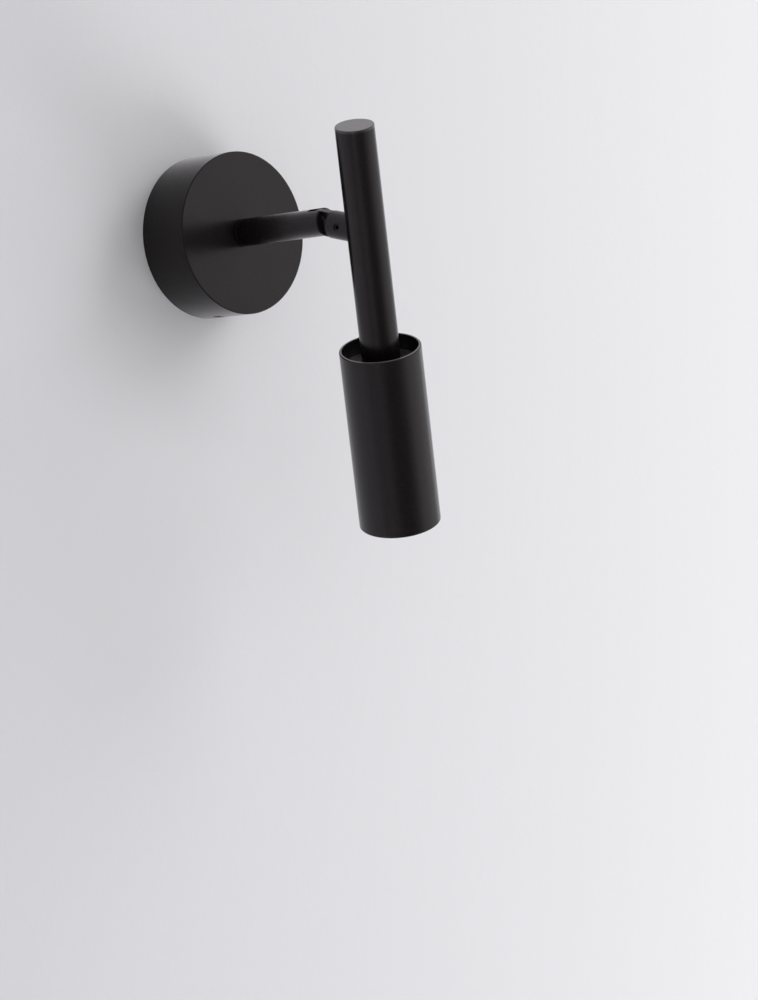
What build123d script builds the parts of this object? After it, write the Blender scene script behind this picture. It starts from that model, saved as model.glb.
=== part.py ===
"""Pivoting spotlight wall light: a round wall canopy, a straight arm with an open knuckle joint,
and a tubular lamp head that hangs from a round stem.

Millimetres. The wall is the plane Y = 0, the light stands out towards -Y and +Z is up.
The origin is the centre of the canopy's back, on the wall.
"""
import os

from build123d import *

os.makedirs("parts", exist_ok=True)

# ---------------------------------------------------------------- driving dimensions
# pose in which the light is shown
arm_turn = 23.7             # arm turned about the wall's normal, degrees
head_tilt = 14.4            # head tilted towards the wall, degrees

# canopy on the wall
canopy_diameter = 80
canopy_depth = 29
canopy_wall = 2
canopy_face = 2.5
canopy_edge = 0.4

# plate inside the canopy
plate_thickness = 1.5
plate_gap = 2               # between the plate's rim and the canopy's wall
tab_width = 14
tab_depth = 16
tab_gap = 0.9               # between a tab and the canopy's wall
tab_bend = 1.2
wall_slot_pitch = 48
wall_slot_length = 12
wall_slot_width = 4.5
cable_hole = 12

# swivel of the arm
bush_flange = 1.6
bush_sleeve = 11.6
nipple_diameter = 10
nipple_bore = 7
nipple_grip = 12            # length of thread inside the arm
nipple_tail = 1.4           # thread that shows past the last nut
nipple_flat = 0.6           # depth of the flat that keys the stop washer
stop_rim = 2.4
stop_thickness = 1.2
stop_reach = 11.5
stop_width = 3
stop_pin_radius = 10
stop_pin_diameter = 2
stop_pin_height = 3.5
spring_height = 1.3
spring_gauge = 0.6
nut_width = 14
nut_height = 3

# arm and fork
arm_diameter = 13.5
arm_bore = 7
arm_edge = 0.5
arm_ring_offset = 2.6
arm_ring_width = 0.5
arm_ring_depth = 0.3
pivot_reach = 85.8          # wall to tilt pivot
ear_overhang = 2.4          # pivot to the fork's end
fork_slot = 4.0

# knuckle
tongue_thickness = 3.4
tongue_radius = 6.3
friction_washer_thickness = 0.25
friction_washer_diameter = 9
pivot_screw_diameter = 3
pivot_head_diameter = 5.6
pivot_head_sink = 6.0       # arm's axis to the top of the pivot screw's head
pivot_screw_grip = 3        # length of thread in the blind ear
shoulder_reach = 6.7        # pivot to the knuckle's shoulder
shoulder_edge = 0.7
lead_hole = 2
lead_offset = 3

# stem
stem_reach = 28.2           # pivot to the stem's axis
stem_diameter = 19
stem_wall = 1.5
stem_rise = 53              # knuckle's axis to the top of the stem
cap_thickness = 1.2
cap_plug = 5
cap_edge = 0.3
insert_length = 18
insert_channel = 6
spigot_diameter = 8
spigot_bore = 5
spigot_grip = 8.5           # length inside the knuckle
grub_diameter = 4
grub_setback = 13.3         # stem's axis to the grub screw
grub_turn = 15              # grub screw round the knuckle, from the pivot's line, degrees
grub_sink = 0.5

# lamp head
head_diameter = 40
head_wall = 1.2
head_drop = 60              # knuckle's axis to the head's top rim
head_length = 92
head_edge = 0.35
floor_depth = 8
floor_thickness = 2.5
foot_length = 12
foot_thread = 10
foot_grip = 11              # length of thread below the floor
foot_bore = 5
sink_length = 30
sink_plate = 4
sink_hub = 19
sink_fins = 16
fin_thickness = 1.3
fin_setback = 1.5           # fins' outer edge to the head's wall
board_diameter = 26
board_thickness = 1.6
board_notch = 2.4
board_screw = 2.5
board_screw_head = 4.2
board_screw_pitch = 21
board_screw_length = 8.5
emitter_diameter = 9
emitter_thickness = 0.6
holder_height = 3
holder_rebate = 1.2         # depth in which the reflector's neck sits
reflector_mouth = 33
reflector_neck = 11
reflector_wall = 0.8
reflector_flange = 1.2
reflector_rings = 7         # conical rings between its mouth and its neck
reflector_curve = 0.68      # power by which it narrows towards its neck; 0.5 is a parabola
glass_thickness = 2
glass_setback = 14          # head's bottom rim to the face of the glass
bezel_depth = 6
bezel_lip = 1.4
bezel_bore = 31

# fittings on the plate
driver_width = 18
driver_length = 38
driver_height = 17
driver_offset = 12.5
pad_thickness = 0.8
pole_pitch = 8
pole_count = 3
pole_depth = 14
pole_height = 11
block_offset = 12.5
pole_joint = 1
pole_web = 3.7              # height of the web that joins the poles
pole_corner = 1.2
terminal_screw_diameter = 3
terminal_screw_sink = 1
wire_entry = 3
screw_slot = 0.6
driver_corner = 2
driver_lid_line = 4
driver_groove = 0.5
grommet_lip = 1
grommet_bore = 8
earth_diameter = 4
earth_washer_thickness = 0.8
earth_washer_radius = 4.4
earth_washer_teeth = 8
earth_head_diameter = 8
earth_head_height = 2
earth_place = (-16, -23)

# small screws
canopy_screw_diameter = 3
canopy_screw_head = 5.2
canopy_screw_height = 11    # wall to the canopy screws
canopy_screw_length = 6
canopy_screw_sink = 0.2
screw_socket = 2

# clearances
seat_gap = 0.03             # radial, between pieces that are fixed together
running_gap = 0.05          # radial, between pieces that turn on each other
swivel_gap = 0.1            # between flat faces that turn on each other

# ---------------------------------------------------------------- planes
wall_frame = Plane.XZ
arm_frame = Plane(wall_frame * Rotation(0, 0, arm_turn))
knuckle_frame = Plane(arm_frame.offset(pivot_reach) * Rotation(head_tilt, 0, 0))
stem_frame = Plane(
    origin=knuckle_frame.offset(stem_reach).origin,
    x_dir=knuckle_frame.x_dir,
    z_dir=knuckle_frame.y_dir,
)
pivot_frame = Plane(
    origin=arm_frame.offset(pivot_reach).origin,
    x_dir=arm_frame.y_dir,
    z_dir=arm_frame.x_dir,
)
pivot_frame_of_knuckle = Plane(
    origin=knuckle_frame.origin,
    x_dir=knuckle_frame.y_dir,
    z_dir=knuckle_frame.x_dir,
)
grub_ring = Plane(knuckle_frame.offset(stem_reach - grub_setback) * Rotation(0, 0, -grub_turn))
grub_plane = Plane(origin=grub_ring.origin, x_dir=grub_ring.y_dir, z_dir=-grub_ring.x_dir)


def side_view(frame):
    """Plane through the frame's axis: its Y runs along that axis and its X is the radius."""
    return Plane(origin=frame.origin, x_dir=frame.x_dir, z_dir=-frame.y_dir)


def axis_of(frame):
    return Axis(frame.origin, frame.z_dir)


def save(builder, name):
    builder.part.label = name
    export_step(builder.part, f"parts/{name}.step")


# ---------------------------------------------------------------- levels along each axis
canopy_radius = canopy_diameter / 2
canopy_inner = canopy_radius - canopy_wall
face_inside = canopy_depth - canopy_face
plate_radius = canopy_inner - plate_gap
tab_outside = canopy_inner - tab_gap

arm_radius = arm_diameter / 2
arm_base = canopy_depth + bush_flange + swivel_gap
arm_end = pivot_reach + ear_overhang
fork_floor = pivot_reach - tongue_radius - swivel_gap

stop_level = face_inside - swivel_gap - stop_thickness
spring_level = stop_level - spring_height
nut_level = spring_level - nut_height
lock_nut_level = nut_level - nut_height
nipple_start = lock_nut_level - nipple_tail
nipple_end = arm_base + nipple_grip

spigot_start = stem_reach - stem_diameter / 2 - spigot_grip
spigot_end = stem_reach - insert_channel / 2

stem_radius = stem_diameter / 2
stem_inner = stem_radius - stem_wall
stem_top = stem_rise - cap_thickness
floor_top = -head_drop - floor_depth
floor_bottom = floor_top - floor_thickness

head_radius = head_diameter / 2
head_inner = head_radius - head_wall
head_top = -head_drop
head_bottom = head_top - head_length
sink_bottom = floor_bottom - sink_length
board_face = sink_bottom - board_thickness
holder_face = board_face - holder_height
glass_face = head_bottom + glass_setback
glass_back = glass_face + glass_thickness


# ---------------------------------------------------------------- wall side
def make_mounting_plate():
    """Steel disc against the wall with two bent tabs that take the canopy screws."""
    with BuildPart() as plate:
        with BuildSketch(wall_frame):
            Circle(plate_radius)
            Rectangle(tab_width, 2 * tab_outside)
        extrude(amount=plate_thickness)
        with BuildSketch(wall_frame):
            with GridLocations(0, 2 * tab_outside - plate_thickness, 1, 2):
                Rectangle(tab_width, plate_thickness)
        extrude(amount=tab_depth)
        outer_bends = plate.edges().filter_by(Axis.X).filter_by_position(Axis.Y, -0.01, 0.01)
        fillet(outer_bends, tab_bend)
        with BuildSketch(wall_frame):
            Circle(cable_hole / 2 + seat_gap)
            with GridLocations(0, wall_slot_pitch, 1, 2):
                SlotOverall(wall_slot_length, wall_slot_width, rotation=90)
            with Locations(earth_place):
                Circle(earth_diameter / 2 + seat_gap)
        extrude(amount=plate_thickness, mode=Mode.SUBTRACT)
        with BuildSketch(Plane.XY):
            with Locations((0, -canopy_screw_height)):
                Circle(canopy_screw_diameter / 2 + seat_gap)
        extrude(amount=canopy_radius, both=True, mode=Mode.SUBTRACT)
    save(plate, "mounting_plate")


def make_canopy():
    """Turned cup with an open back, a centre hole and a countersunk hole above and below."""
    with BuildPart() as canopy:
        with BuildSketch(wall_frame):
            Circle(canopy_radius)
        extrude(amount=canopy_depth)
        chamfer(canopy.faces().sort_by(axis_of(wall_frame))[-1].edges(), canopy_edge)
        with BuildSketch(wall_frame):
            Circle(canopy_inner)
        extrude(amount=face_inside, mode=Mode.SUBTRACT)
        with BuildSketch(wall_frame):
            Circle(bush_sleeve / 2 + seat_gap)
            with Locations((0, stop_pin_radius)):
                Circle(stop_pin_diameter / 2 + seat_gap)
        extrude(amount=canopy_depth - canopy_edge, mode=Mode.SUBTRACT)
        with BuildSketch(wall_frame):
            Circle(bush_sleeve / 2 + seat_gap)
        extrude(amount=canopy_depth, mode=Mode.SUBTRACT)
        for side in (1, -1):
            with Locations(canopy_screw_plane(side)):
                CounterSinkHole(
                    radius=canopy_screw_diameter / 2 + running_gap,
                    counter_sink_radius=canopy_screw_head / 2 + running_gap,
                    depth=canopy_wall + canopy_screw_length,
                )
    save(canopy, "canopy")


def canopy_screw_plane(side):
    """Plane on a canopy screw's head, facing outwards at the top (1) or at the bottom (-1)."""
    level = side * (canopy_radius - canopy_screw_sink)
    return Plane(origin=(0, -canopy_screw_height, level), x_dir=(1, 0, 0), z_dir=(0, 0, side))


def countersunk_screw(plane, diameter, head, length, socket):
    """Countersunk screw that runs down from the plane, with a hexagon socket in its head."""
    head_depth = (head - diameter) / 2
    with BuildPart() as screw:
        with BuildSketch(plane):
            Circle(diameter / 2)
        extrude(amount=-length)
        with BuildSketch(plane):
            Circle(head / 2)
        with BuildSketch(plane.offset(-head_depth)):
            Circle(diameter / 2)
        loft()
        with BuildSketch(plane):
            RegularPolygon(socket / 2, 6, major_radius=False)
        extrude(amount=-head_depth, mode=Mode.SUBTRACT)
    return screw.part


def make_canopy_screws():
    with BuildPart() as screws:
        for side in (1, -1):
            add(
                countersunk_screw(
                    canopy_screw_plane(side),
                    canopy_screw_diameter,
                    canopy_screw_head,
                    canopy_screw_length,
                    screw_socket,
                )
            )
    save(screws, "canopy_screws")


def make_cable_grommet():
    """Rubber bush in the plate's cable hole, with a lip in front of the plate."""
    with BuildPart() as grommet:
        with BuildSketch(wall_frame):
            Circle(cable_hole / 2)
        extrude(amount=plate_thickness)
        with BuildSketch(wall_frame.offset(plate_thickness)):
            Circle(cable_hole / 2 + grommet_lip)
        extrude(amount=grommet_lip)
        chamfer(grommet.faces().sort_by(axis_of(wall_frame))[-1].edges(), grommet_lip / 3)
        with BuildSketch(wall_frame):
            Circle(grommet_bore / 2)
        extrude(amount=plate_thickness + grommet_lip, mode=Mode.SUBTRACT)
    save(grommet, "cable_grommet")


def make_swivel_bush():
    """Flanged bush in the canopy's face, in which the arm's threaded nipple turns."""
    with BuildPart() as bush:
        with BuildSketch(wall_frame.offset(face_inside)):
            Circle(bush_sleeve / 2)
        extrude(amount=canopy_face)
        with BuildSketch(wall_frame.offset(canopy_depth)):
            Circle(arm_radius)
        extrude(amount=bush_flange)
        chamfer(bush.faces().sort_by(axis_of(wall_frame))[-1].edges(), arm_edge / 2)
        with BuildSketch(wall_frame.offset(face_inside)):
            Circle(nipple_diameter / 2 + running_gap)
        extrude(amount=canopy_face + bush_flange, mode=Mode.SUBTRACT)
    save(bush, "swivel_bush")


def make_stop_pin():
    """Pin in the canopy's face that ends the arm's turn."""
    with BuildPart() as pin:
        with BuildSketch(wall_frame.offset(face_inside - stop_pin_height)):
            with Locations((0, stop_pin_radius)):
                Circle(stop_pin_diameter / 2)
        extrude(amount=stop_pin_height + canopy_face - canopy_edge)
    save(pin, "stop_pin")


def make_led_driver():
    """Moulded driver case with rounded corners and a lid line round its sides."""
    with BuildPart() as driver:
        with BuildSketch(wall_frame.offset(plate_thickness + pad_thickness)):
            with Locations((driver_offset + driver_width / 2, 0)):
                RectangleRounded(driver_width, driver_length, driver_corner)
        extrude(amount=driver_height)
        fillet(driver.faces().sort_by(axis_of(wall_frame))[-1].edges(), driver_corner / 2)
        with BuildSketch(wall_frame.offset(plate_thickness + pad_thickness + driver_lid_line)):
            with Locations((driver_offset + driver_width / 2, 0)):
                Rectangle(2 * driver_width, 2 * driver_length)
                RectangleRounded(
                    driver_width - 2 * driver_groove,
                    driver_length - 2 * driver_groove,
                    driver_corner - driver_groove,
                    mode=Mode.SUBTRACT,
                )
        extrude(amount=driver_groove, mode=Mode.SUBTRACT)
    save(driver, "led_driver")


def make_driver_pad():
    """Foam pad that holds the driver on the plate."""
    with BuildPart() as pad:
        with BuildSketch(wall_frame.offset(plate_thickness)):
            with Locations((driver_offset + driver_width / 2, 0)):
                RectangleRounded(
                    driver_width - driver_corner,
                    driver_length - 2 * driver_corner,
                    driver_corner,
                )
        extrude(amount=pad_thickness)
    save(pad, "driver_pad")


def terminal_wells():
    """Places of the terminal screws: two rows, one pair for each pole."""
    centre = -(block_offset + pole_depth / 2)
    grid = GridLocations(pole_depth / 2, pole_pitch, 2, pole_count)
    return [(centre + well.position.X, well.position.Y) for well in grid]


def make_terminal_block():
    """Three-pole terminal block: a web that joins three lobes, each with two screw wells."""
    centre = -(block_offset + pole_depth / 2)
    lobe = pole_pitch - pole_joint
    wells = terminal_wells()
    with BuildPart() as block:
        with BuildSketch(wall_frame.offset(plate_thickness)):
            with Locations((centre, 0)):
                Rectangle(pole_depth, pole_pitch * pole_count - pole_joint)
        extrude(amount=pole_web)
        with BuildSketch(wall_frame.offset(plate_thickness)):
            with Locations((centre, 0)):
                with GridLocations(0, pole_pitch, 1, pole_count):
                    RectangleRounded(pole_depth, lobe, pole_corner)
        extrude(amount=pole_height)
        with BuildSketch(wall_frame.offset(plate_thickness + pole_height)):
            with Locations(*wells):
                Circle(terminal_screw_diameter / 2 + seat_gap)
        extrude(amount=-pole_height / 2, mode=Mode.SUBTRACT)
        with BuildSketch(Plane.YZ.offset(centre)):
            with Locations((-plate_thickness - pole_web, 0)):
                with GridLocations(0, pole_pitch, 1, pole_count):
                    Circle(wire_entry / 2)
        extrude(amount=pole_depth, both=True, mode=Mode.SUBTRACT)
    save(block, "terminal_block")


def make_terminal_screws():
    """Slotted screws, sunk in the terminal block's wells."""
    screw_top = plate_thickness + pole_height - terminal_screw_sink
    length = pole_height / 2 - terminal_screw_sink
    wells = terminal_wells()
    with BuildPart() as screws:
        with BuildSketch(wall_frame.offset(screw_top)):
            with Locations(*wells):
                Circle(terminal_screw_diameter / 2)
        extrude(amount=-length)
        with BuildSketch(wall_frame.offset(screw_top)):
            with Locations(*wells):
                Rectangle(terminal_screw_diameter, screw_slot)
        extrude(amount=-2 * screw_slot, mode=Mode.SUBTRACT)
    save(screws, "terminal_screws")


def make_earth_screw():
    """Pan-head screw for the earth wire, in the plate."""
    earth_top = plate_thickness + earth_washer_thickness + earth_head_height
    with BuildPart() as screw:
        with BuildSketch(wall_frame):
            with Locations(earth_place):
                Circle(earth_diameter / 2)
        extrude(amount=plate_thickness + earth_washer_thickness)
        with BuildSketch(wall_frame.offset(plate_thickness + earth_washer_thickness)):
            with Locations(earth_place):
                Circle(earth_head_diameter / 2)
        extrude(amount=earth_head_height)
        top_edges = screw.faces().sort_by(axis_of(wall_frame))[-1].edges()
        chamfer(top_edges, earth_head_height / 3)
        with BuildSketch(wall_frame.offset(earth_top)):
            with Locations(earth_place):
                Rectangle(earth_head_diameter, screw_slot)
                Rectangle(screw_slot, earth_head_diameter)
        extrude(amount=-2 * screw_slot, mode=Mode.SUBTRACT)
    save(screw, "earth_screw")


def make_earth_washer():
    """Toothed washer under the earth screw's head."""
    with BuildPart() as washer:
        with BuildSketch(wall_frame.offset(plate_thickness)):
            with Locations(earth_place):
                Circle(earth_washer_radius)
                with PolarLocations(earth_washer_radius, earth_washer_teeth):
                    Circle(earth_washer_thickness / 2, mode=Mode.SUBTRACT)
                Circle(earth_diameter / 2 + seat_gap, mode=Mode.SUBTRACT)
        extrude(amount=earth_washer_thickness)
    save(washer, "earth_washer")


# ---------------------------------------------------------------- arm side
def make_arm():
    """Drilled round bar: threaded at the wall end, slotted into a fork at the other."""
    with BuildPart() as arm:
        with BuildSketch(arm_frame.offset(arm_base)):
            Circle(arm_radius)
        extrude(amount=arm_end - arm_base)
        ends = arm.faces().filter_by(axis_of(arm_frame)).sort_by(axis_of(arm_frame))
        chamfer(ends[0].edges() + ends[-1].edges(), arm_edge)
        with BuildSketch(arm_frame.offset(arm_base + arm_ring_offset)):
            Circle(arm_radius)
            Circle(arm_radius - arm_ring_depth, mode=Mode.SUBTRACT)
        extrude(amount=arm_ring_width, mode=Mode.SUBTRACT)
        with BuildSketch(arm_frame.offset(arm_base)):
            Circle(arm_bore / 2)
        extrude(amount=fork_floor - arm_base, mode=Mode.SUBTRACT)
        with BuildSketch(arm_frame.offset(arm_base)):
            Circle(nipple_diameter / 2 + seat_gap)
        extrude(amount=nipple_grip, mode=Mode.SUBTRACT)
        with BuildSketch(arm_frame.offset(fork_floor)):
            Rectangle(fork_slot, arm_diameter)
        extrude(amount=arm_end - fork_floor, mode=Mode.SUBTRACT)
        with BuildSketch(pivot_frame.offset(-fork_slot / 2 - pivot_screw_grip)):
            Circle(pivot_screw_diameter / 2 + seat_gap)
        extrude(amount=arm_diameter, mode=Mode.SUBTRACT)
        with Locations(pivot_frame.offset(pivot_head_sink)):
            CounterSinkHole(
                radius=pivot_screw_diameter / 2 + seat_gap,
                counter_sink_radius=pivot_head_diameter / 2 + seat_gap,
                depth=pivot_head_sink - fork_slot / 2,
            )
        with BuildSketch(pivot_frame.offset(pivot_head_sink)):
            Circle(pivot_head_diameter / 2 + seat_gap)
        extrude(amount=arm_radius - pivot_head_sink, mode=Mode.SUBTRACT)
    save(arm, "arm")


def make_arm_nipple():
    """Hollow threaded tube from the arm through the canopy's face, with a flat for the stop."""
    with BuildPart() as nipple:
        with BuildSketch(arm_frame.offset(nipple_start)):
            Circle(nipple_diameter / 2)
        extrude(amount=nipple_end - nipple_start)
        with BuildSketch(arm_frame.offset(nipple_start)):
            with Locations((0, nipple_diameter / 2)):
                Rectangle(nipple_diameter, 2 * nipple_flat)
        extrude(amount=stop_level + stop_thickness - nipple_start, mode=Mode.SUBTRACT)
        with BuildSketch(arm_frame.offset(nipple_start)):
            Circle(nipple_bore / 2)
        extrude(amount=nipple_end - nipple_start, mode=Mode.SUBTRACT)
    save(nipple, "arm_nipple")


def make_stop_washer():
    """Tabbed washer, keyed to the nipple's flat, whose tab meets the stop pin."""
    with BuildPart() as washer:
        with BuildSketch(arm_frame.offset(stop_level)):
            Circle(bush_sleeve / 2 + stop_rim)
            with Locations((0, -stop_reach / 2)):
                Rectangle(stop_width, stop_reach)
            with BuildSketch(mode=Mode.SUBTRACT) as keyed_hole:
                Circle(nipple_diameter / 2 + seat_gap)
                with Locations((0, nipple_diameter / 2 + seat_gap)):
                    Rectangle(2 * nipple_diameter, 2 * nipple_flat, mode=Mode.SUBTRACT)
        extrude(amount=stop_thickness)
    save(washer, "stop_washer")


def make_spring_washer():
    """Conical spring washer that keeps the swivel tight."""
    inner = nipple_diameter / 2 + running_gap
    outer = bush_sleeve / 2 + stop_rim
    with BuildPart() as washer:
        with BuildSketch(side_view(arm_frame.offset(spring_level))):
            with BuildLine():
                Polyline(
                    (inner, 0),
                    (inner, spring_gauge),
                    (outer, spring_height),
                    (outer, spring_height - spring_gauge),
                    close=True,
                )
            make_face()
        revolve(axis=axis_of(arm_frame))
    save(washer, "spring_washer")


def make_nut(name, level):
    """Thin hexagon nut on the nipple."""
    with BuildPart() as nut:
        with BuildSketch(arm_frame.offset(level)):
            RegularPolygon(nut_width / 2, 6, major_radius=False)
            Circle(nipple_diameter / 2 + seat_gap, mode=Mode.SUBTRACT)
        extrude(amount=nut_height)
        corners = nut.edges().filter_by(axis_of(arm_frame)).filter_by(GeomType.LINE)
        fillet(corners, nut_height / 5)
    save(nut, name)


def make_pivot_screw():
    """Countersunk screw across the knuckle: head in the far ear, thread in the near one."""
    length = pivot_head_sink + fork_slot / 2 + pivot_screw_grip - swivel_gap
    with BuildPart() as screw:
        add(
            countersunk_screw(
                pivot_frame.offset(pivot_head_sink),
                pivot_screw_diameter,
                pivot_head_diameter,
                length,
                screw_socket,
            )
        )
    save(screw, "pivot_screw")


def make_friction_washers():
    """Two thin washers, one on each side of the knuckle's tongue."""
    with BuildPart() as washers:
        for level in (tongue_thickness / 2 + running_gap / 2, -fork_slot / 2):
            with BuildSketch(pivot_frame.offset(level)):
                Circle(friction_washer_diameter / 2)
                Circle(pivot_screw_diameter / 2 + seat_gap, mode=Mode.SUBTRACT)
            extrude(amount=friction_washer_thickness)
    save(washers, "friction_washers")


# ---------------------------------------------------------------- head side: knuckle and stem
def make_knuckle():
    """Round stub that ends in a rounded tongue and is coped to the stem at its other end."""
    with BuildPart() as knuckle:
        with BuildSketch(knuckle_frame.offset(shoulder_reach)):
            Circle(arm_radius)
        extrude(amount=stem_reach - shoulder_reach)
        chamfer(knuckle.faces().sort_by(axis_of(knuckle_frame))[0].edges(), shoulder_edge)
        with BuildSketch(pivot_frame_of_knuckle.offset(-tongue_thickness / 2)):
            Circle(tongue_radius)
            with Locations((0, shoulder_reach / 2)):
                Rectangle(2 * tongue_radius, shoulder_reach)
        extrude(amount=tongue_thickness)
        with BuildSketch(stem_frame):
            Circle(stem_radius + seat_gap)
        extrude(amount=arm_diameter, both=True, mode=Mode.SUBTRACT)
        with BuildSketch(knuckle_frame.offset(spigot_start)):
            Circle(spigot_diameter / 2 + seat_gap)
        extrude(amount=stem_reach - spigot_start, mode=Mode.SUBTRACT)
        with BuildSketch(knuckle_frame.offset(-tongue_radius)):
            with GridLocations(0, 2 * lead_offset, 1, 2):
                Circle(lead_hole / 2)
        extrude(amount=tongue_radius + spigot_start, mode=Mode.SUBTRACT)
        with BuildSketch(pivot_frame_of_knuckle.offset(-tongue_thickness / 2)):
            Circle(pivot_screw_diameter / 2 + running_gap)
        extrude(amount=tongue_thickness, mode=Mode.SUBTRACT)
        with BuildSketch(grub_plane):
            Circle(grub_diameter / 2 + seat_gap)
        extrude(amount=arm_radius, mode=Mode.SUBTRACT)
    save(knuckle, "knuckle")


def make_grub_screw():
    """Socket set screw that locks the knuckle to the stem's spigot."""
    bottom = spigot_diameter / 2 + seat_gap
    length = arm_radius - grub_sink - bottom
    with BuildPart() as screw:
        with BuildSketch(grub_plane.offset(bottom)):
            Circle(grub_diameter / 2)
        extrude(amount=length)
        with BuildSketch(grub_plane.offset(bottom + length)):
            RegularPolygon(grub_diameter / 4, 6, major_radius=False)
        extrude(amount=-length / 2, mode=Mode.SUBTRACT)
    save(screw, "knuckle_grub_screw")


def make_stem_spigot():
    """Hollow spigot that passes through the stem's wall into the knuckle."""
    with BuildPart() as spigot:
        with BuildSketch(knuckle_frame.offset(spigot_start)):
            Circle(spigot_diameter / 2)
            Circle(spigot_bore / 2, mode=Mode.SUBTRACT)
        extrude(amount=spigot_end - spigot_start)
    save(spigot, "stem_spigot")


def make_stem_insert():
    """Plug inside the stem, cross-drilled for the spigot, with a channel for the leads."""
    with BuildPart() as insert:
        with BuildSketch(stem_frame.offset(-insert_length / 2)):
            Circle(stem_inner - seat_gap)
        extrude(amount=insert_length)
        chamfer(insert.edges().filter_by(GeomType.CIRCLE), cap_edge)
        with BuildSketch(stem_frame.offset(-insert_length / 2)):
            Circle(insert_channel / 2)
        extrude(amount=insert_length / 2 + spigot_diameter / 2, mode=Mode.SUBTRACT)
        with BuildSketch(knuckle_frame.offset(stem_reach - stem_radius)):
            Circle(spigot_diameter / 2 + seat_gap)
        extrude(amount=stem_radius, mode=Mode.SUBTRACT)
    save(insert, "stem_insert")


def make_stem():
    """Round tube with a hole for the spigot."""
    with BuildPart() as stem:
        with BuildSketch(stem_frame.offset(floor_top)):
            Circle(stem_radius)
            Circle(stem_inner, mode=Mode.SUBTRACT)
        extrude(amount=stem_top - floor_top)
        with BuildSketch(knuckle_frame.offset(stem_reach - stem_radius)):
            Circle(spigot_diameter / 2 + seat_gap)
        extrude(amount=stem_radius, mode=Mode.SUBTRACT)
    save(stem, "stem")


def make_stem_cap():
    """Flat cap with a plug inside the top of the stem."""
    with BuildPart() as cap:
        with BuildSketch(stem_frame.offset(stem_top)):
            Circle(stem_radius)
        extrude(amount=cap_thickness)
        chamfer(cap.faces().sort_by(axis_of(stem_frame))[-1].edges(), cap_edge)
        with BuildSketch(stem_frame.offset(stem_top)):
            Circle(stem_inner - seat_gap)
        extrude(amount=-cap_plug)
    save(cap, "stem_cap")


def make_stem_foot():
    """Plug in the foot of the stem; its hollow thread passes through the head's floor."""
    with BuildPart() as foot:
        with BuildSketch(stem_frame.offset(floor_top)):
            Circle(stem_inner - seat_gap)
        extrude(amount=foot_length)
        chamfer(foot.faces().sort_by(axis_of(stem_frame))[-1].edges(), cap_edge)
        with BuildSketch(stem_frame.offset(floor_top)):
            Circle(foot_thread / 2)
        extrude(amount=-floor_thickness - foot_grip)
        with BuildSketch(stem_frame.offset(floor_bottom - foot_grip)):
            Circle(foot_bore / 2)
        extrude(amount=foot_grip + floor_thickness + foot_length, mode=Mode.SUBTRACT)
    save(foot, "stem_foot")


# ---------------------------------------------------------------- head side: lamp head
def make_head_tube():
    """Tubular housing, open at both ends, with a floor below its top rim."""
    with BuildPart() as tube:
        with BuildSketch(stem_frame.offset(head_bottom)):
            Circle(head_radius)
        extrude(amount=head_length)
        ends = tube.faces().filter_by(axis_of(stem_frame))
        chamfer(ends.edges(), head_edge)
        with BuildSketch(stem_frame.offset(head_top)):
            Circle(head_inner)
        extrude(amount=-floor_depth, mode=Mode.SUBTRACT)
        with BuildSketch(stem_frame.offset(head_bottom)):
            Circle(head_inner)
        extrude(amount=floor_bottom - head_bottom, mode=Mode.SUBTRACT)
        with BuildSketch(stem_frame.offset(floor_bottom)):
            Circle(foot_thread / 2 + seat_gap)
        extrude(amount=floor_thickness, mode=Mode.SUBTRACT)
    save(tube, "head_tube")


def make_heat_sink():
    """Turned aluminium core: two discs joined by a tapped hub and a ring of upright fins."""
    with BuildPart() as sink:
        with BuildSketch(stem_frame.offset(sink_bottom)):
            Circle(head_inner - seat_gap)
        extrude(amount=sink_plate)
        with BuildSketch(stem_frame.offset(floor_bottom)):
            Circle(head_inner - seat_gap)
        extrude(amount=-sink_plate)
        with BuildSketch(stem_frame.offset(sink_bottom)):
            Circle(sink_hub / 2)
            with PolarLocations((head_inner - fin_setback) / 2, sink_fins):
                Rectangle(head_inner - fin_setback, fin_thickness)
        extrude(amount=sink_length)
        with BuildSketch(stem_frame.offset(floor_bottom)):
            Circle(foot_thread / 2 + seat_gap)
        extrude(amount=-foot_grip - seat_gap, mode=Mode.SUBTRACT)
        with BuildSketch(stem_frame.offset(sink_bottom)):
            Circle(foot_bore / 2)
        extrude(amount=sink_length, mode=Mode.SUBTRACT)
        with BuildSketch(stem_frame.offset(sink_bottom)):
            with GridLocations(board_screw_pitch, 0, 2, 1):
                Circle(board_screw / 2 + seat_gap)
        extrude(amount=board_screw_length - holder_height - board_thickness, mode=Mode.SUBTRACT)
    save(sink, "heat_sink")


def make_led_board():
    """Round metal-core board with two screw holes and a notch for the leads."""
    with BuildPart() as board:
        with BuildSketch(stem_frame.offset(board_face)):
            Circle(board_diameter / 2)
            with GridLocations(board_screw_pitch, 0, 2, 1):
                Circle(board_screw / 2 + seat_gap, mode=Mode.SUBTRACT)
            with Locations((0, board_diameter / 2)):
                SlotOverall(board_notch * 2, board_notch, rotation=90, mode=Mode.SUBTRACT)
        extrude(amount=board_thickness)
    save(board, "led_board")


def make_led_emitter():
    """Round light-emitting chip on the board."""
    with BuildPart() as emitter:
        with BuildSketch(stem_frame.offset(board_face - emitter_thickness)):
            Circle(emitter_diameter / 2)
        extrude(amount=emitter_thickness)
    save(emitter, "led_emitter")


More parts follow.
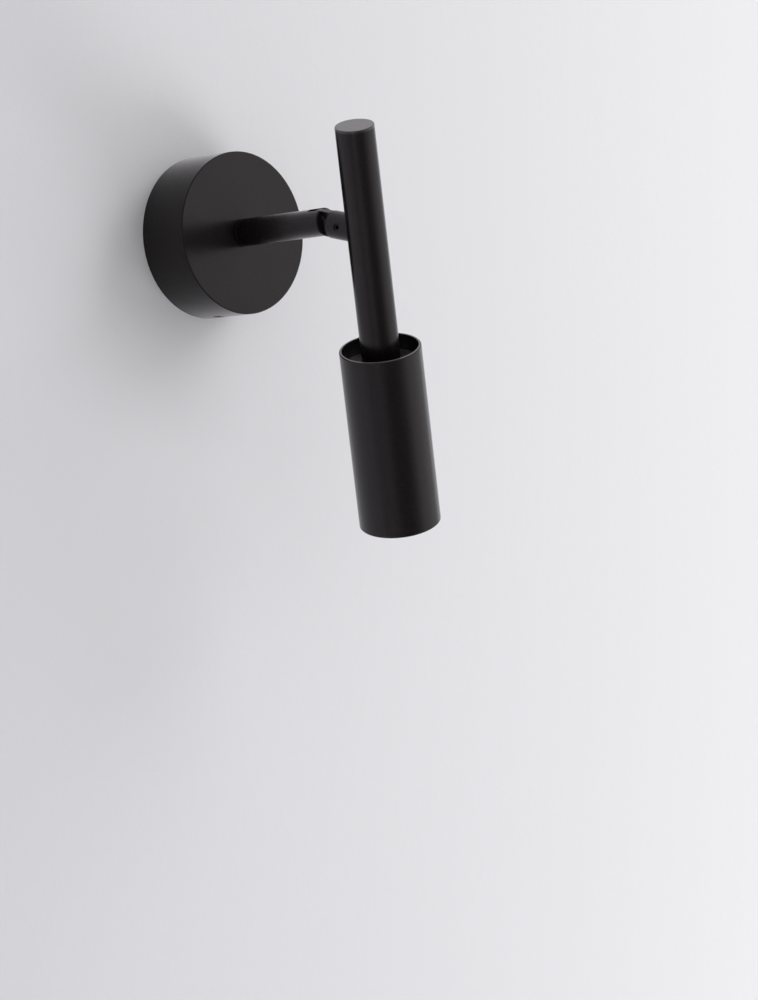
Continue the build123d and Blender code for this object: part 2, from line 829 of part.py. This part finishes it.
def make_led_holder():
    """Moulded ring round the chip, screwed over the board, with a rebate for the reflector."""
    rebate = reflector_neck / 2 + 2 * reflector_wall
    with BuildPart() as holder:
        with BuildSketch(stem_frame.offset(holder_face)):
            Circle(board_diameter / 2)
        extrude(amount=holder_height)
        chamfer(holder.faces().sort_by(axis_of(stem_frame))[0].edges(), holder_height / 4)
        with BuildSketch(stem_frame.offset(holder_face)):
            Circle(reflector_neck / 2)
            with GridLocations(board_screw_pitch, 0, 2, 1):
                Circle(board_screw / 2 + seat_gap)
        extrude(amount=holder_height, mode=Mode.SUBTRACT)
        with BuildSketch(stem_frame.offset(holder_face)):
            Circle(rebate)
        extrude(amount=holder_rebate, mode=Mode.SUBTRACT)
    save(holder, "led_holder")


def make_board_screws():
    """Two pan-head screws through the holder and the board into the heat sink."""
    with BuildPart() as screws:
        with BuildSketch(stem_frame.offset(holder_face)):
            with GridLocations(board_screw_pitch, 0, 2, 1):
                Circle(board_screw / 2)
        extrude(amount=board_screw_length - seat_gap)
        with BuildSketch(stem_frame.offset(holder_face)):
            with GridLocations(board_screw_pitch, 0, 2, 1):
                Circle(board_screw_head / 2)
        extrude(amount=-board_screw_head / 3)
        with BuildSketch(stem_frame.offset(holder_face - board_screw_head / 3)):
            with GridLocations(board_screw_pitch, 0, 2, 1):
                Rectangle(board_screw_head, screw_slot)
                Rectangle(screw_slot, board_screw_head)
        extrude(amount=board_screw_head / 6, mode=Mode.SUBTRACT)
    save(screws, "board_screws")


def reflector_radius(share):
    """Inner radius of the reflector, from its mouth (share 0) to its neck (share 1)."""
    mouth = reflector_mouth / 2
    neck = reflector_neck / 2
    return neck + (mouth - neck) * (1 - share) ** reflector_curve


def make_reflector():
    """Spun reflector of conical rings, from its neck in the holder to a flange on the glass."""
    depth = holder_face + holder_rebate - glass_back
    shares = [ring / reflector_rings for ring in range(reflector_rings + 1)]
    inside = [(reflector_radius(share), share * depth) for share in shares]
    shares[0] = reflector_flange / depth
    outside = [(reflector_radius(share) + reflector_wall, share * depth) for share in shares]
    with BuildPart() as reflector:
        with BuildSketch(side_view(stem_frame.offset(glass_back))):
            with BuildLine():
                Polyline(
                    (head_inner - seat_gap, reflector_flange),
                    (head_inner - seat_gap, 0),
                    *inside,
                    *reversed(outside),
                    close=True,
                )
            make_face()
        revolve(axis=axis_of(stem_frame))
    save(reflector, "reflector")


def make_lens_glass():
    """Clear disc in front of the reflector."""
    with BuildPart() as glass:
        with BuildSketch(stem_frame.offset(glass_face)):
            Circle(head_inner - seat_gap)
        extrude(amount=glass_thickness)
        chamfer(glass.edges().filter_by(GeomType.CIRCLE), cap_edge)
    save(glass, "lens_glass")


def make_bezel_ring():
    """Threaded retaining ring below the glass, with an inward lip and two spanner notches."""
    with BuildPart() as bezel:
        with BuildSketch(side_view(stem_frame.offset(glass_face))):
            with BuildLine():
                Polyline(
                    (bezel_bore / 2, 0),
                    (head_inner - seat_gap, 0),
                    (head_inner - seat_gap, -bezel_depth),
                    (head_inner - bezel_lip, -bezel_depth),
                    (bezel_bore / 2, -bezel_lip),
                    close=True,
                )
            make_face()
        revolve(axis=axis_of(stem_frame))
        with BuildSketch(stem_frame.offset(glass_face - bezel_depth)):
            Rectangle(2 * head_inner, bezel_lip)
        extrude(amount=bezel_lip, mode=Mode.SUBTRACT)
    save(bezel, "bezel_ring")


# ---------------------------------------------------------------- build
def main():
    make_mounting_plate()
    make_canopy()
    make_canopy_screws()
    make_cable_grommet()
    make_swivel_bush()
    make_stop_pin()
    make_led_driver()
    make_driver_pad()
    make_terminal_block()
    make_terminal_screws()
    make_earth_screw()
    make_earth_washer()
    make_arm()
    make_arm_nipple()
    make_stop_washer()
    make_spring_washer()
    make_nut("swivel_nut", nut_level)
    make_nut("lock_nut", lock_nut_level)
    make_pivot_screw()
    make_friction_washers()
    make_knuckle()
    make_grub_screw()
    make_stem_spigot()
    make_stem_insert()
    make_stem()
    make_stem_cap()
    make_stem_foot()
    make_head_tube()
    make_heat_sink()
    make_led_board()
    make_led_emitter()
    make_led_holder()
    make_board_screws()
    make_reflector()
    make_lens_glass()
    make_bezel_ring()


main()
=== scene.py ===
import math

import bpy
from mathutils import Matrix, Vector

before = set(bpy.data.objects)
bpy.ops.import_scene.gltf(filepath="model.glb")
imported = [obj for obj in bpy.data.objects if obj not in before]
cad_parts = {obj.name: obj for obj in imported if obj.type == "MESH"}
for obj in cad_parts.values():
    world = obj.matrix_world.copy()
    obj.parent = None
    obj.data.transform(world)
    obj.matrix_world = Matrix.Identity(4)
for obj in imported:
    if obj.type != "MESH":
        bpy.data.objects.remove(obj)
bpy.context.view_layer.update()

# ---------------------------------------------------------------- camera
# The light is seen from its left and from a little below it, from about two metres away
# with a long lens, so the stem and the head hardly taper.
studio = bpy.context.scene
view_azimuth = math.radians(-43.98)
view_elevation = math.radians(-3.47)
view_target = Vector((0.12022, 0.0, -0.12485))
view_distance = 2.12135
lens_millimetres = 148.82
film_millimetres = 36
nearest_seen = 0.05
farthest_seen = 30


def outward(azimuth, elevation):
    """The direction from the wall into the room at an azimuth and an elevation."""
    return Vector((
        math.sin(azimuth) * math.cos(elevation),
        -math.cos(azimuth) * math.cos(elevation),
        math.sin(elevation),
    ))


def aim(piece, place, target):
    """Stands the camera, a lamp or a card at a place and turns its front to the target."""
    piece.location = place
    piece.rotation_mode = "QUATERNION"
    piece.rotation_quaternion = (Vector(target) - Vector(place)).to_track_quat("-Z", "Y")


camera = bpy.data.objects.new("camera", bpy.data.cameras.new("camera"))
camera.data.lens = lens_millimetres
camera.data.sensor_width = film_millimetres
camera.data.sensor_fit = "AUTO"
camera.data.clip_start = nearest_seen
camera.data.clip_end = farthest_seen
aim(camera, view_target + view_distance * outward(view_azimuth, view_elevation), view_target)
studio.collection.objects.link(camera)
studio.camera = camera
studio.view_settings.view_transform = "Standard"

# ---------------------------------------------------------------- wall and floor
# A pale plastered wall that the light is fixed to, and a pale floor far below. The plaster's
# colour goes from darker on its left to paler on its right: painted shade on the left and
# painted light on the right. The wall is open behind the canopy and only its room side shows.
wall_half_width = 2.6
wall_top = 1.6
# The two wall colours are painted shade on the left and painted light on the right.
wall_left_painted_shade = (0.765, 0.757, 0.795)
wall_right_painted_light = (0.820, 0.816, 0.840)
wall_painted_light_reach = 0.5
wall_opening_radius = 0.0385
wall_opening_steps = 96
floor_level = -1.75
floor_depth = 1.0
floor_colour = (0.80, 0.80, 0.82, 1)
matt_roughness = 0.9
near_zero = 1e-6


def stage_mesh(name, corners, faces):
    """A flat piece of the studio, which is no part of the light."""
    mesh = bpy.data.meshes.new(name)
    mesh.from_pydata(corners, [], faces)
    piece = bpy.data.objects.new(name, mesh)
    studio.collection.objects.link(piece)
    return piece


def plain_finish(name):
    """A new finish, its node tree and its shader."""
    finish = bpy.data.materials.new(name)
    finish.use_nodes = True
    return finish, finish.node_tree, finish.node_tree.nodes["Principled BSDF"]


def own_place(tree, kind="Object"):
    """Where a point lies on its own piece or, for Normal, which way the piece faces there."""
    return tree.nodes.new("ShaderNodeTexCoord").outputs[kind]


def along(tree, place, axis):
    """How far a place lies along X, Y or Z."""
    parts = tree.nodes.new("ShaderNodeSeparateXYZ")
    tree.links.new(place, parts.inputs[0])
    return parts.outputs[axis]


def grain(tree, scale, detail=2.0, roughness=0.5):
    """Irregular grain fixed to the piece; scale is in grains per metre."""
    noise = tree.nodes.new("ShaderNodeTexNoise")
    noise.inputs["Scale"].default_value = scale
    noise.inputs["Detail"].default_value = detail
    noise.inputs["Roughness"].default_value = roughness
    tree.links.new(own_place(tree), noise.inputs["Vector"])
    return noise.outputs["Fac"]


def spread(tree, value, low, high, start=0.3, stop=0.7):
    """Goes from low to high as a value goes from start to stop."""
    fit = tree.nodes.new("ShaderNodeMapRange")
    fit.inputs["From Min"].default_value = start
    fit.inputs["From Max"].default_value = stop
    fit.inputs["To Min"].default_value = low
    fit.inputs["To Max"].default_value = high
    tree.links.new(value, fit.inputs["Value"])
    return fit.outputs["Result"]


def tint(tree, value, first, last, start=0.3, stop=0.7):
    """A colour that goes from the first to the last as a value goes from start to stop."""
    ramp = tree.nodes.new("ShaderNodeValToRGB")
    for stand, (position, colour) in zip(ramp.color_ramp.elements, ((start, first), (stop, last))):
        stand.position = position
        stand.color = (*colour, 1)
    tree.links.new(value, ramp.inputs["Fac"])
    return ramp.outputs["Color"]


def raise_grain(tree, shader, value, height, strength, under=None):
    """Raises a grain by height, in metres, over another raised grain if there is one."""
    bump = tree.nodes.new("ShaderNodeBump")
    bump.inputs["Strength"].default_value = strength
    bump.inputs["Distance"].default_value = height
    tree.links.new(value, bump.inputs["Height"])
    if under is not None:
        tree.links.new(under.outputs["Normal"], bump.inputs["Normal"])
    tree.links.new(bump.outputs["Normal"], shader.inputs["Normal"])
    return bump


plaster, plaster_tree, plaster_shader = plain_finish("pale_plaster")
plaster_shader.inputs["Roughness"].default_value = matt_roughness
# Painted shade and light: the plaster's colour goes from darker on the left to paler on the right.
plaster_painted_light = spread(
    plaster_tree, along(plaster_tree, own_place(plaster_tree), "X"),
    low=0.0, high=1.0, start=-wall_painted_light_reach, stop=wall_painted_light_reach,
)
plaster_tree.links.new(
    tint(plaster_tree, plaster_painted_light, wall_left_painted_shade, wall_right_painted_light, start=0.0, stop=1.0),
    plaster_shader.inputs["Base Color"],
)
raise_grain(
    plaster_tree, plaster_shader, grain(plaster_tree, scale=160, detail=3.0),
    height=0.0006, strength=0.25,
)
room_side = plaster_tree.nodes.new("ShaderNodeNewGeometry")
far_side = plaster_tree.nodes.new("ShaderNodeBsdfTransparent")
one_sided = plaster_tree.nodes.new("ShaderNodeMixShader")
plaster_output = plaster_tree.nodes["Material Output"]
plaster_tree.links.new(room_side.outputs["Backfacing"], one_sided.inputs[0])
plaster_tree.links.new(plaster_shader.outputs[0], one_sided.inputs[1])
plaster_tree.links.new(far_side.outputs[0], one_sided.inputs[2])
plaster_tree.links.new(one_sided.outputs[0], plaster_output.inputs["Surface"])


def opening_point(angle):
    """A point on the rim of the opening behind the canopy."""
    return (wall_opening_radius * math.cos(angle), 0.0, wall_opening_radius * math.sin(angle))


def edge_point(angle):
    """The point of the wall's outer edge that lies straight out from the canopy's centre."""
    across, up = math.cos(angle), math.sin(angle)
    reach = min(
        wall_half_width / max(abs(across), near_zero),
        (wall_top if up > 0 else -floor_level) / max(abs(up), near_zero),
    )
    return (across * reach, 0.0, up * reach)


wall_angles = [step * math.tau / wall_opening_steps for step in range(wall_opening_steps)]
wall_faces = []
for step in range(wall_opening_steps):
    following = (step + 1) % wall_opening_steps
    wall_faces.append(
        (step, wall_opening_steps + step, wall_opening_steps + following, following)
    )
wall = stage_mesh(
    "wall",
    [opening_point(angle) for angle in wall_angles] + [edge_point(angle) for angle in wall_angles],
    wall_faces,
)
wall.data.materials.append(plaster)

floor = stage_mesh(
    "floor",
    [
        (-wall_half_width, 0, floor_level), (wall_half_width, 0, floor_level),
        (wall_half_width, -floor_depth, floor_level), (-wall_half_width, -floor_depth, floor_level),
    ],
    [(0, 3, 2, 1)],
)
pale_floor, _, floor_shader = plain_finish("pale_floor")
floor_shader.inputs["Base Color"].default_value = floor_colour
floor_shader.inputs["Roughness"].default_value = matt_roughness
floor.data.materials.append(pale_floor)

# ---------------------------------------------------------------- studio light
# Even light from all round, a broad and a small soft lamp on the right, and two fill lamps
# that reflections do not see. A black card with a soft edge hangs low in front, where only
# reflections see it, and darkens the middle of the tubes.
round_light = 0.48
backdrop_light = 0.64
lamps_target = (0.03, -0.06, -0.05)
card_azimuth = math.radians(-4)
card_elevation = math.radians(-45)
card_distance = 0.9
card_target = Vector((0.05, -0.09, -0.05))
card_dark_radius = 0.135
card_edge_radius = 0.837
card_darkness = 0.78
white = (1, 1, 1, 1)
black = (0, 0, 0, 1)

world = bpy.data.worlds.new("studio")
studio.world = world
world.use_nodes = True
world_nodes, world_links = world.node_tree.nodes, world.node_tree.links
world_light = world_nodes["Background"]
backdrop = world_nodes.new("ShaderNodeBackground")
for background, strength in ((world_light, round_light), (backdrop, backdrop_light)):
    background.inputs["Color"].default_value = white
    background.inputs["Strength"].default_value = strength
ray = world_nodes.new("ShaderNodeLightPath")
seen = ray.outputs["Is Camera Ray"]
for kind in ("Is Glossy Ray", "Is Transmission Ray"):
    either = world_nodes.new("ShaderNodeMath")
    either.operation = "MAXIMUM"
    world_links.new(seen, either.inputs[0])
    world_links.new(ray.outputs[kind], either.inputs[1])
    seen = either.outputs[0]
world_mix = world_nodes.new("ShaderNodeMixShader")
world_links.new(seen, world_mix.inputs[0])
world_links.new(world_light.outputs[0], world_mix.inputs[1])
world_links.new(backdrop.outputs[0], world_mix.inputs[2])
world_links.new(world_mix.outputs[0], world_nodes["World Output"].inputs["Surface"])


def soft_lamp(name, place, width, height, power):
    """A flat diffused lamp that faces the light."""
    lamp = bpy.data.lights.new(name, "AREA")
    lamp.shape = "RECTANGLE"
    lamp.size = width
    lamp.size_y = height
    lamp.energy = power
    stand = bpy.data.objects.new(name, lamp)
    aim(stand, place, lamps_target)
    studio.collection.objects.link(stand)
    return stand


soft_lamp("lamp_right", place=(1.05, -0.70, -0.22), width=0.9, height=1.3, power=0.65)
soft_lamp("lamp_face", place=(0.82, -0.88, 0.28), width=0.6, height=0.6, power=1.45)
for fill_lamp in (
    soft_lamp("lamp_low", place=(1.3, -1.00, -1.25), width=1.1, height=1.1, power=17),
    soft_lamp("lamp_high", place=(1.35, -0.90, 1.35), width=1.1, height=1.1, power=16),
):
    fill_lamp.visible_glossy = False

card = stage_mesh(
    "black_card",
    [
        (-card_edge_radius, -card_edge_radius, 0), (card_edge_radius, -card_edge_radius, 0),
        (card_edge_radius, card_edge_radius, 0), (-card_edge_radius, card_edge_radius, 0),
    ],
    [(0, 1, 2, 3)],
)
aim(card, card_target + card_distance * outward(card_azimuth, card_elevation), card_target)
card.visible_camera = False
card.visible_diffuse = False
card.visible_transmission = False
card.visible_volume_scatter = False
card.visible_shadow = False
soft_black, card_tree, card_shader = plain_finish("soft_black")
card_shader.inputs["Base Color"].default_value = black
card_shader.inputs["Specular IOR Level"].default_value = 0.0
from_middle = card_tree.nodes.new("ShaderNodeVectorMath")
from_middle.operation = "LENGTH"
card_tree.links.new(own_place(card_tree), from_middle.inputs[0])
card_fade = spread(
    card_tree, from_middle.outputs["Value"],
    low=card_darkness, high=0.0, start=card_dark_radius, stop=card_edge_radius,
)
card_fade.node.interpolation_type = "SMOOTHSTEP"
card_tree.links.new(card_fade, card_shader.inputs["Alpha"])
card.data.materials.append(soft_black)

# ---------------------------------------------------------------- mounting plate
# A zinc-plated steel disc that is screwed to the wall through its two slots. Two tabs
# bent out of its rim take the screws that hold the canopy.
def metal_finish(name, dark, light, smooth, rough, marks, depth):
    """Bare or plated metal with fine marks of making and handling: marks is how many there
    are per metre, and depth is in metres."""
    finish, tree, shader = plain_finish(name)
    wear = grain(tree, scale=marks, detail=4.0, roughness=0.6)
    patches = grain(tree, scale=140, detail=3.0)
    shader.inputs["Metallic"].default_value = 1.0
    tree.links.new(tint(tree, patches, dark, light), shader.inputs["Base Color"])
    tree.links.new(spread(tree, wear, smooth, rough), shader.inputs["Roughness"])
    raise_grain(tree, shader, wear, height=depth, strength=0.5)
    return finish


def dress(finish, *names):
    """Gives pieces of the light their finish."""
    for name in names:
        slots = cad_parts[name].data.materials
        slots.clear()
        slots.append(finish)


zinc = metal_finish(
    "zinc_plate", dark=(0.50, 0.51, 0.53), light=(0.64, 0.65, 0.66),
    smooth=0.28, rough=0.46, marks=2400, depth=0.00001,
)
dress(zinc, "mounting_plate")

# ---------------------------------------------------------------- cable grommet
# A moulded black rubber bush pressed into the plate's cable hole, so that the edge
# of the steel doesn't cut the cable.
def moulded_finish(name, dark, light, smooth, rough, grains, depth):
    """Moulded plastic or rubber with a fine spark-eroded grain: grains is how many there
    are per metre, and depth is in metres."""
    finish, tree, shader = plain_finish(name)
    mould = grain(tree, scale=grains, detail=3.0)
    patches = grain(tree, scale=90, detail=3.0)
    tree.links.new(tint(tree, patches, dark, light), shader.inputs["Base Color"])
    tree.links.new(spread(tree, mould, smooth, rough), shader.inputs["Roughness"])
    raise_grain(tree, shader, mould, height=depth, strength=0.6)
    return finish


black_rubber = moulded_finish(
    "black_rubber", dark=(0.012, 0.012, 0.012), light=(0.022, 0.022, 0.022),
    smooth=0.62, rough=0.82, grains=3000, depth=0.00003,
)
dress(black_rubber, "cable_grommet")

# ---------------------------------------------------------------- driver on its pad
# The driver's case is moulded in two halves of white plastic, closed at the lid line,
# and stands on a pad of grey foam.
case_white = moulded_finish(
    "case_white", dark=(0.72, 0.72, 0.69), light=(0.80, 0.80, 0.77),
    smooth=0.38, rough=0.52, grains=2600, depth=0.00002,
)
dress(case_white, "led_driver")

# The darker grey in the middle of each foam cell is painted shade in its pore.
foam_pore_shade_grey = (0.035, 0.035, 0.038)
foam_skin_grey = (0.09, 0.09, 0.095)
foam_cells_per_metre = 2200
foam, foam_tree, foam_shader = plain_finish("grey_foam")
foam_cells = foam_tree.nodes.new("ShaderNodeTexVoronoi")
foam_cells.inputs["Scale"].default_value = foam_cells_per_metre
foam_tree.links.new(own_place(foam_tree), foam_cells.inputs["Vector"])
foam_tree.links.new(
    tint(foam_tree, foam_cells.outputs["Distance"], foam_pore_shade_grey, foam_skin_grey),
    foam_shader.inputs["Base Color"],
)
foam_shader.inputs["Roughness"].default_value = 0.95
raise_grain(foam_tree, foam_shader, foam_cells.outputs["Distance"], height=0.00012, strength=0.8)
dress(foam, "driver_pad")

# ---------------------------------------------------------------- terminal block
# Natural nylon, slightly see-through, moulded in one piece with a well for each screw;
# the slotted screws are plated steel.
nylon_dark = (0.70, 0.67, 0.56)
nylon_light = (0.80, 0.78, 0.68)
nylon_light_depth = (0.002, 0.0018, 0.0014)
nylon, nylon_tree, nylon_shader = plain_finish("natural_nylon")
nylon_grain = grain(nylon_tree, scale=1200, detail=3.0)
nylon_tree.links.new(
    tint(nylon_tree, nylon_grain, nylon_dark, nylon_light), nylon_shader.inputs["Base Color"]
)
nylon_tree.links.new(
    spread(nylon_tree, nylon_grain, low=0.30, high=0.45), nylon_shader.inputs["Roughness"]
)
nylon_shader.inputs["Subsurface Weight"].default_value = 0.25
nylon_shader.inputs["Subsurface Radius"].default_value = nylon_light_depth
nylon_shader.inputs["Subsurface Scale"].default_value = 1.0
raise_grain(nylon_tree, nylon_shader, nylon_grain, height=0.00002, strength=0.5)
dress(nylon, "terminal_block")

plated_screws = metal_finish(
    "plated_screws", dark=(0.52, 0.52, 0.50), light=(0.68, 0.67, 0.63),
    smooth=0.22, rough=0.40, marks=3500, depth=0.000008,
)
dress(plated_screws, "terminal_screws")

# ---------------------------------------------------------------- earth screw
# A brass pan-head screw with a crossed slot, over a toothed washer of plated steel
# that bites into the plate.
turned_brass = metal_finish(
    "turned_brass", dark=(0.60, 0.42, 0.15), light=(0.78, 0.57, 0.25),
    smooth=0.22, rough=0.38, marks=3000, depth=0.000008,
)
dress(turned_brass, "earth_screw")
dress(zinc, "earth_washer")

# ---------------------------------------------------------------- canopy and its bush
# The canopy is an aluminium cup, turned and coated with fine matt black powder that is baked
# on. The powder leaves a close, even grain and looks paler where the cup turns away. The
# steel bush in its face, which the arm turns in, has a duller coat.
coat_dark = (0.0040, 0.0032, 0.0034)
coat_light = (0.0078, 0.0064, 0.0068)
coat_gloss_tint = (1.0, 0.93, 0.96, 1)
coat_bloom_tint = (1.0, 0.97, 0.985, 1)
coat_bloom_roughness = 0.34
coat_patch_share = 0.35


def powder_coat(name, gloss=0.38, bloom=0.0):
    """Black powder baked onto metal: a close grain over a softer flow of the film."""
    finish, tree, shader = plain_finish(name)
    close_grain = grain(tree, scale=3600, roughness=0.6)
    film_flow = grain(tree, scale=620)
    patches = grain(tree, scale=55, detail=3.0)
    speckle = tree.nodes.new("ShaderNodeMix")
    speckle.data_type = "FLOAT"
    speckle.inputs["Factor"].default_value = coat_patch_share
    tree.links.new(close_grain, speckle.inputs["A"])
    tree.links.new(patches, speckle.inputs["B"])
    tree.links.new(
        tint(tree, speckle.outputs["Result"], coat_dark, coat_light), shader.inputs["Base Color"]
    )
    tree.links.new(spread(tree, close_grain, low=0.18, high=0.30), shader.inputs["Roughness"])
    shader.inputs["Specular IOR Level"].default_value = gloss
    shader.inputs["Specular Tint"].default_value = coat_gloss_tint
    shader.inputs["Sheen Weight"].default_value = bloom
    shader.inputs["Sheen Roughness"].default_value = coat_bloom_roughness
    shader.inputs["Sheen Tint"].default_value = coat_bloom_tint
    flow = raise_grain(tree, shader, film_flow, height=0.00001, strength=0.5)
    raise_grain(tree, shader, close_grain, height=0.000014, strength=0.7, under=flow)
    return finish


canopy_coat = powder_coat("canopy_powder_coat", gloss=0.15, bloom=0.65)
dress(canopy_coat, "canopy")
bush_coat = powder_coat("bush_powder_coat", gloss=0.10)
dress(bush_coat, "swivel_bush")

# ---------------------------------------------------------------- black screws
# Hardened steel screws with a hexagon socket, blackened and oiled. They hold the canopy
# and the knuckle's pivot, and lock the stem on the knuckle.
blackened = metal_finish(
    "blackened_steel", dark=(0.020, 0.020, 0.022), light=(0.045, 0.044, 0.046),
    smooth=0.30, rough=0.45, marks=3500, depth=0.000008,
)
dress(blackened, "canopy_screws", "pivot_screw", "knuckle_grub_screw")

# ---------------------------------------------------------------- arm and its swivel
# The arm is a drilled steel bar, coated black and handled most on its outer half, whose
# edges look paler. A hollow threaded tube screwed into it passes through the bush; nuts,
# washers and a stop pin of plated and spring steel hold it and limit its turn.
arm_gloss = 0.32
arm_outer_bloom = 0.62
arm_handled_from = -0.042
arm_handled_to = -0.062


def vary(coat, setting, value, other, start, stop):
    """Takes a coat's setting from its own value to another as value goes from start to stop."""
    tree = coat.node_tree
    socket = tree.nodes["Principled BSDF"].inputs[setting]
    tree.links.new(spread(tree, value, socket.default_value, other, start, stop), socket)


arm_coat = powder_coat("arm_powder_coat", gloss=arm_gloss)
arm_reach = along(arm_coat.node_tree, own_place(arm_coat.node_tree), "Y")
vary(arm_coat, "Sheen Weight", arm_reach, arm_outer_bloom, arm_handled_from, arm_handled_to)
dress(arm_coat, "arm")
dress(zinc, "arm_nipple", "swivel_nut", "lock_nut")
spring_steel = metal_finish(
    "spring_steel", dark=(0.20, 0.20, 0.21), light=(0.32, 0.31, 0.31),
    smooth=0.25, rough=0.42, marks=2600, depth=0.00001,
)
dress(spring_steel, "spring_washer", "stop_washer", "stop_pin")

# ---------------------------------------------------------------- knuckle
# A steel stub, turned and milled to a tongue and coated black. Thin washers of black
# bearing plastic lie on both sides of the tongue and give the joint its drag.
black_coat = powder_coat("black_powder_coat")
dress(black_coat, "knuckle")
bearing_plastic = moulded_finish(
    "bearing_plastic", dark=(0.020, 0.020, 0.021), light=(0.034, 0.034, 0.035),
    smooth=0.35, rough=0.50, grains=2600, depth=0.00001,
)
dress(bearing_plastic, "friction_washers")

# ---------------------------------------------------------------- stem
# A coated aluminium tube with a flat pressed-in cap, whose coat is glossier. A turned insert
# and a plated spigot join the tube to the knuckle, and a turned foot carries the head.
dress(black_coat, "stem")
cap_coat = powder_coat("cap_powder_coat", gloss=1.0, bloom=0.6)
dress(cap_coat, "stem_cap")
turned_aluminium = metal_finish(
    "turned_aluminium", dark=(0.60, 0.61, 0.62), light=(0.76, 0.77, 0.78),
    smooth=0.24, rough=0.42, marks=2200, depth=0.00001,
)
dress(turned_aluminium, "stem_insert", "stem_foot")
dress(zinc, "stem_spigot")

# ---------------------------------------------------------------- lamp head
# A coated aluminium tube with a floor near its top. The coat is glossier and paler on its
# flat rim and floor. The bare finned heat sink is pulled up under that floor, and a coated
# ring closes the mouth round the glass.
head_end_gloss = 1.0
head_end_bloom = 0.9
head_end_from = 0.80
head_end_full = 0.95


def middle_of(name):
    """The middle of a piece's box."""
    corners = [Vector(corner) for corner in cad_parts[name].bound_box]
    return sum(corners, Vector()) / len(corners)


head_coat = powder_coat("head_powder_coat")
head_tree = head_coat.node_tree
head_facing = head_tree.nodes.new("ShaderNodeVectorMath")
head_facing.operation = "DOT_PRODUCT"
head_facing.inputs[1].default_value = (middle_of("stem_cap") - middle_of("head_tube")).normalized()
head_tree.links.new(own_place(head_tree, "Normal"), head_facing.inputs[0])
for head_setting, at_ends in (
    ("Specular IOR Level", head_end_gloss), ("Sheen Weight", head_end_bloom),
):
    vary(
        head_coat, head_setting, head_facing.outputs["Value"],
        at_ends, head_end_from, head_end_full,
    )
dress(head_coat, "head_tube")
dress(black_coat, "bezel_ring")
dress(turned_aluminium, "heat_sink")

# ---------------------------------------------------------------- light source
# A white-coated metal-core board with a round chip under yellow resin. A moulded ring and two
# plated screws hold it to the heat sink, and a spun reflector stands behind a clear disc.
board_white = moulded_finish(
    "board_white", dark=(0.70, 0.70, 0.68), light=(0.78, 0.78, 0.76),
    smooth=0.28, rough=0.42, grains=1800, depth=0.00001,
)
dress(board_white, "led_board")
holder_white = moulded_finish(
    "holder_white", dark=(0.62, 0.62, 0.60), light=(0.70, 0.70, 0.68),
    smooth=0.45, rough=0.60, grains=2600, depth=0.00002,
)
dress(holder_white, "led_holder")
dress(plated_screws, "board_screws")

resin_dark = (0.78, 0.56, 0.08)
resin_light = (0.86, 0.66, 0.14)
resin, resin_tree, resin_shader = plain_finish("yellow_resin")
resin_grain = grain(resin_tree, scale=5000)
resin_tree.links.new(
    tint(resin_tree, resin_grain, resin_dark, resin_light), resin_shader.inputs["Base Color"]
)
resin_shader.inputs["Roughness"].default_value = 0.3
raise_grain(resin_tree, resin_shader, resin_grain, height=0.00001, strength=0.5)
dress(resin, "led_emitter")

mirror_metal = metal_finish(
    "mirror_metal", dark=(0.84, 0.85, 0.86), light=(0.90, 0.91, 0.92),
    smooth=0.08, rough=0.14, marks=1800, depth=0.000003,
)
dress(mirror_metal, "reflector")

glass_tint = (0.96, 0.98, 0.97, 1)
glass_bending = 1.47
clear_glass, glass_tree, glass_shader = plain_finish("clear_glass")
glass_shader.inputs["Base Color"].default_value = glass_tint
glass_shader.inputs["Transmission Weight"].default_value = 1.0
glass_shader.inputs["IOR"].default_value = glass_bending
glass_smear = grain(glass_tree, scale=120, detail=3.0)
glass_tree.links.new(
    spread(glass_tree, glass_smear, low=0.01, high=0.05), glass_shader.inputs["Roughness"]
)
dress(clear_glass, "lens_glass")
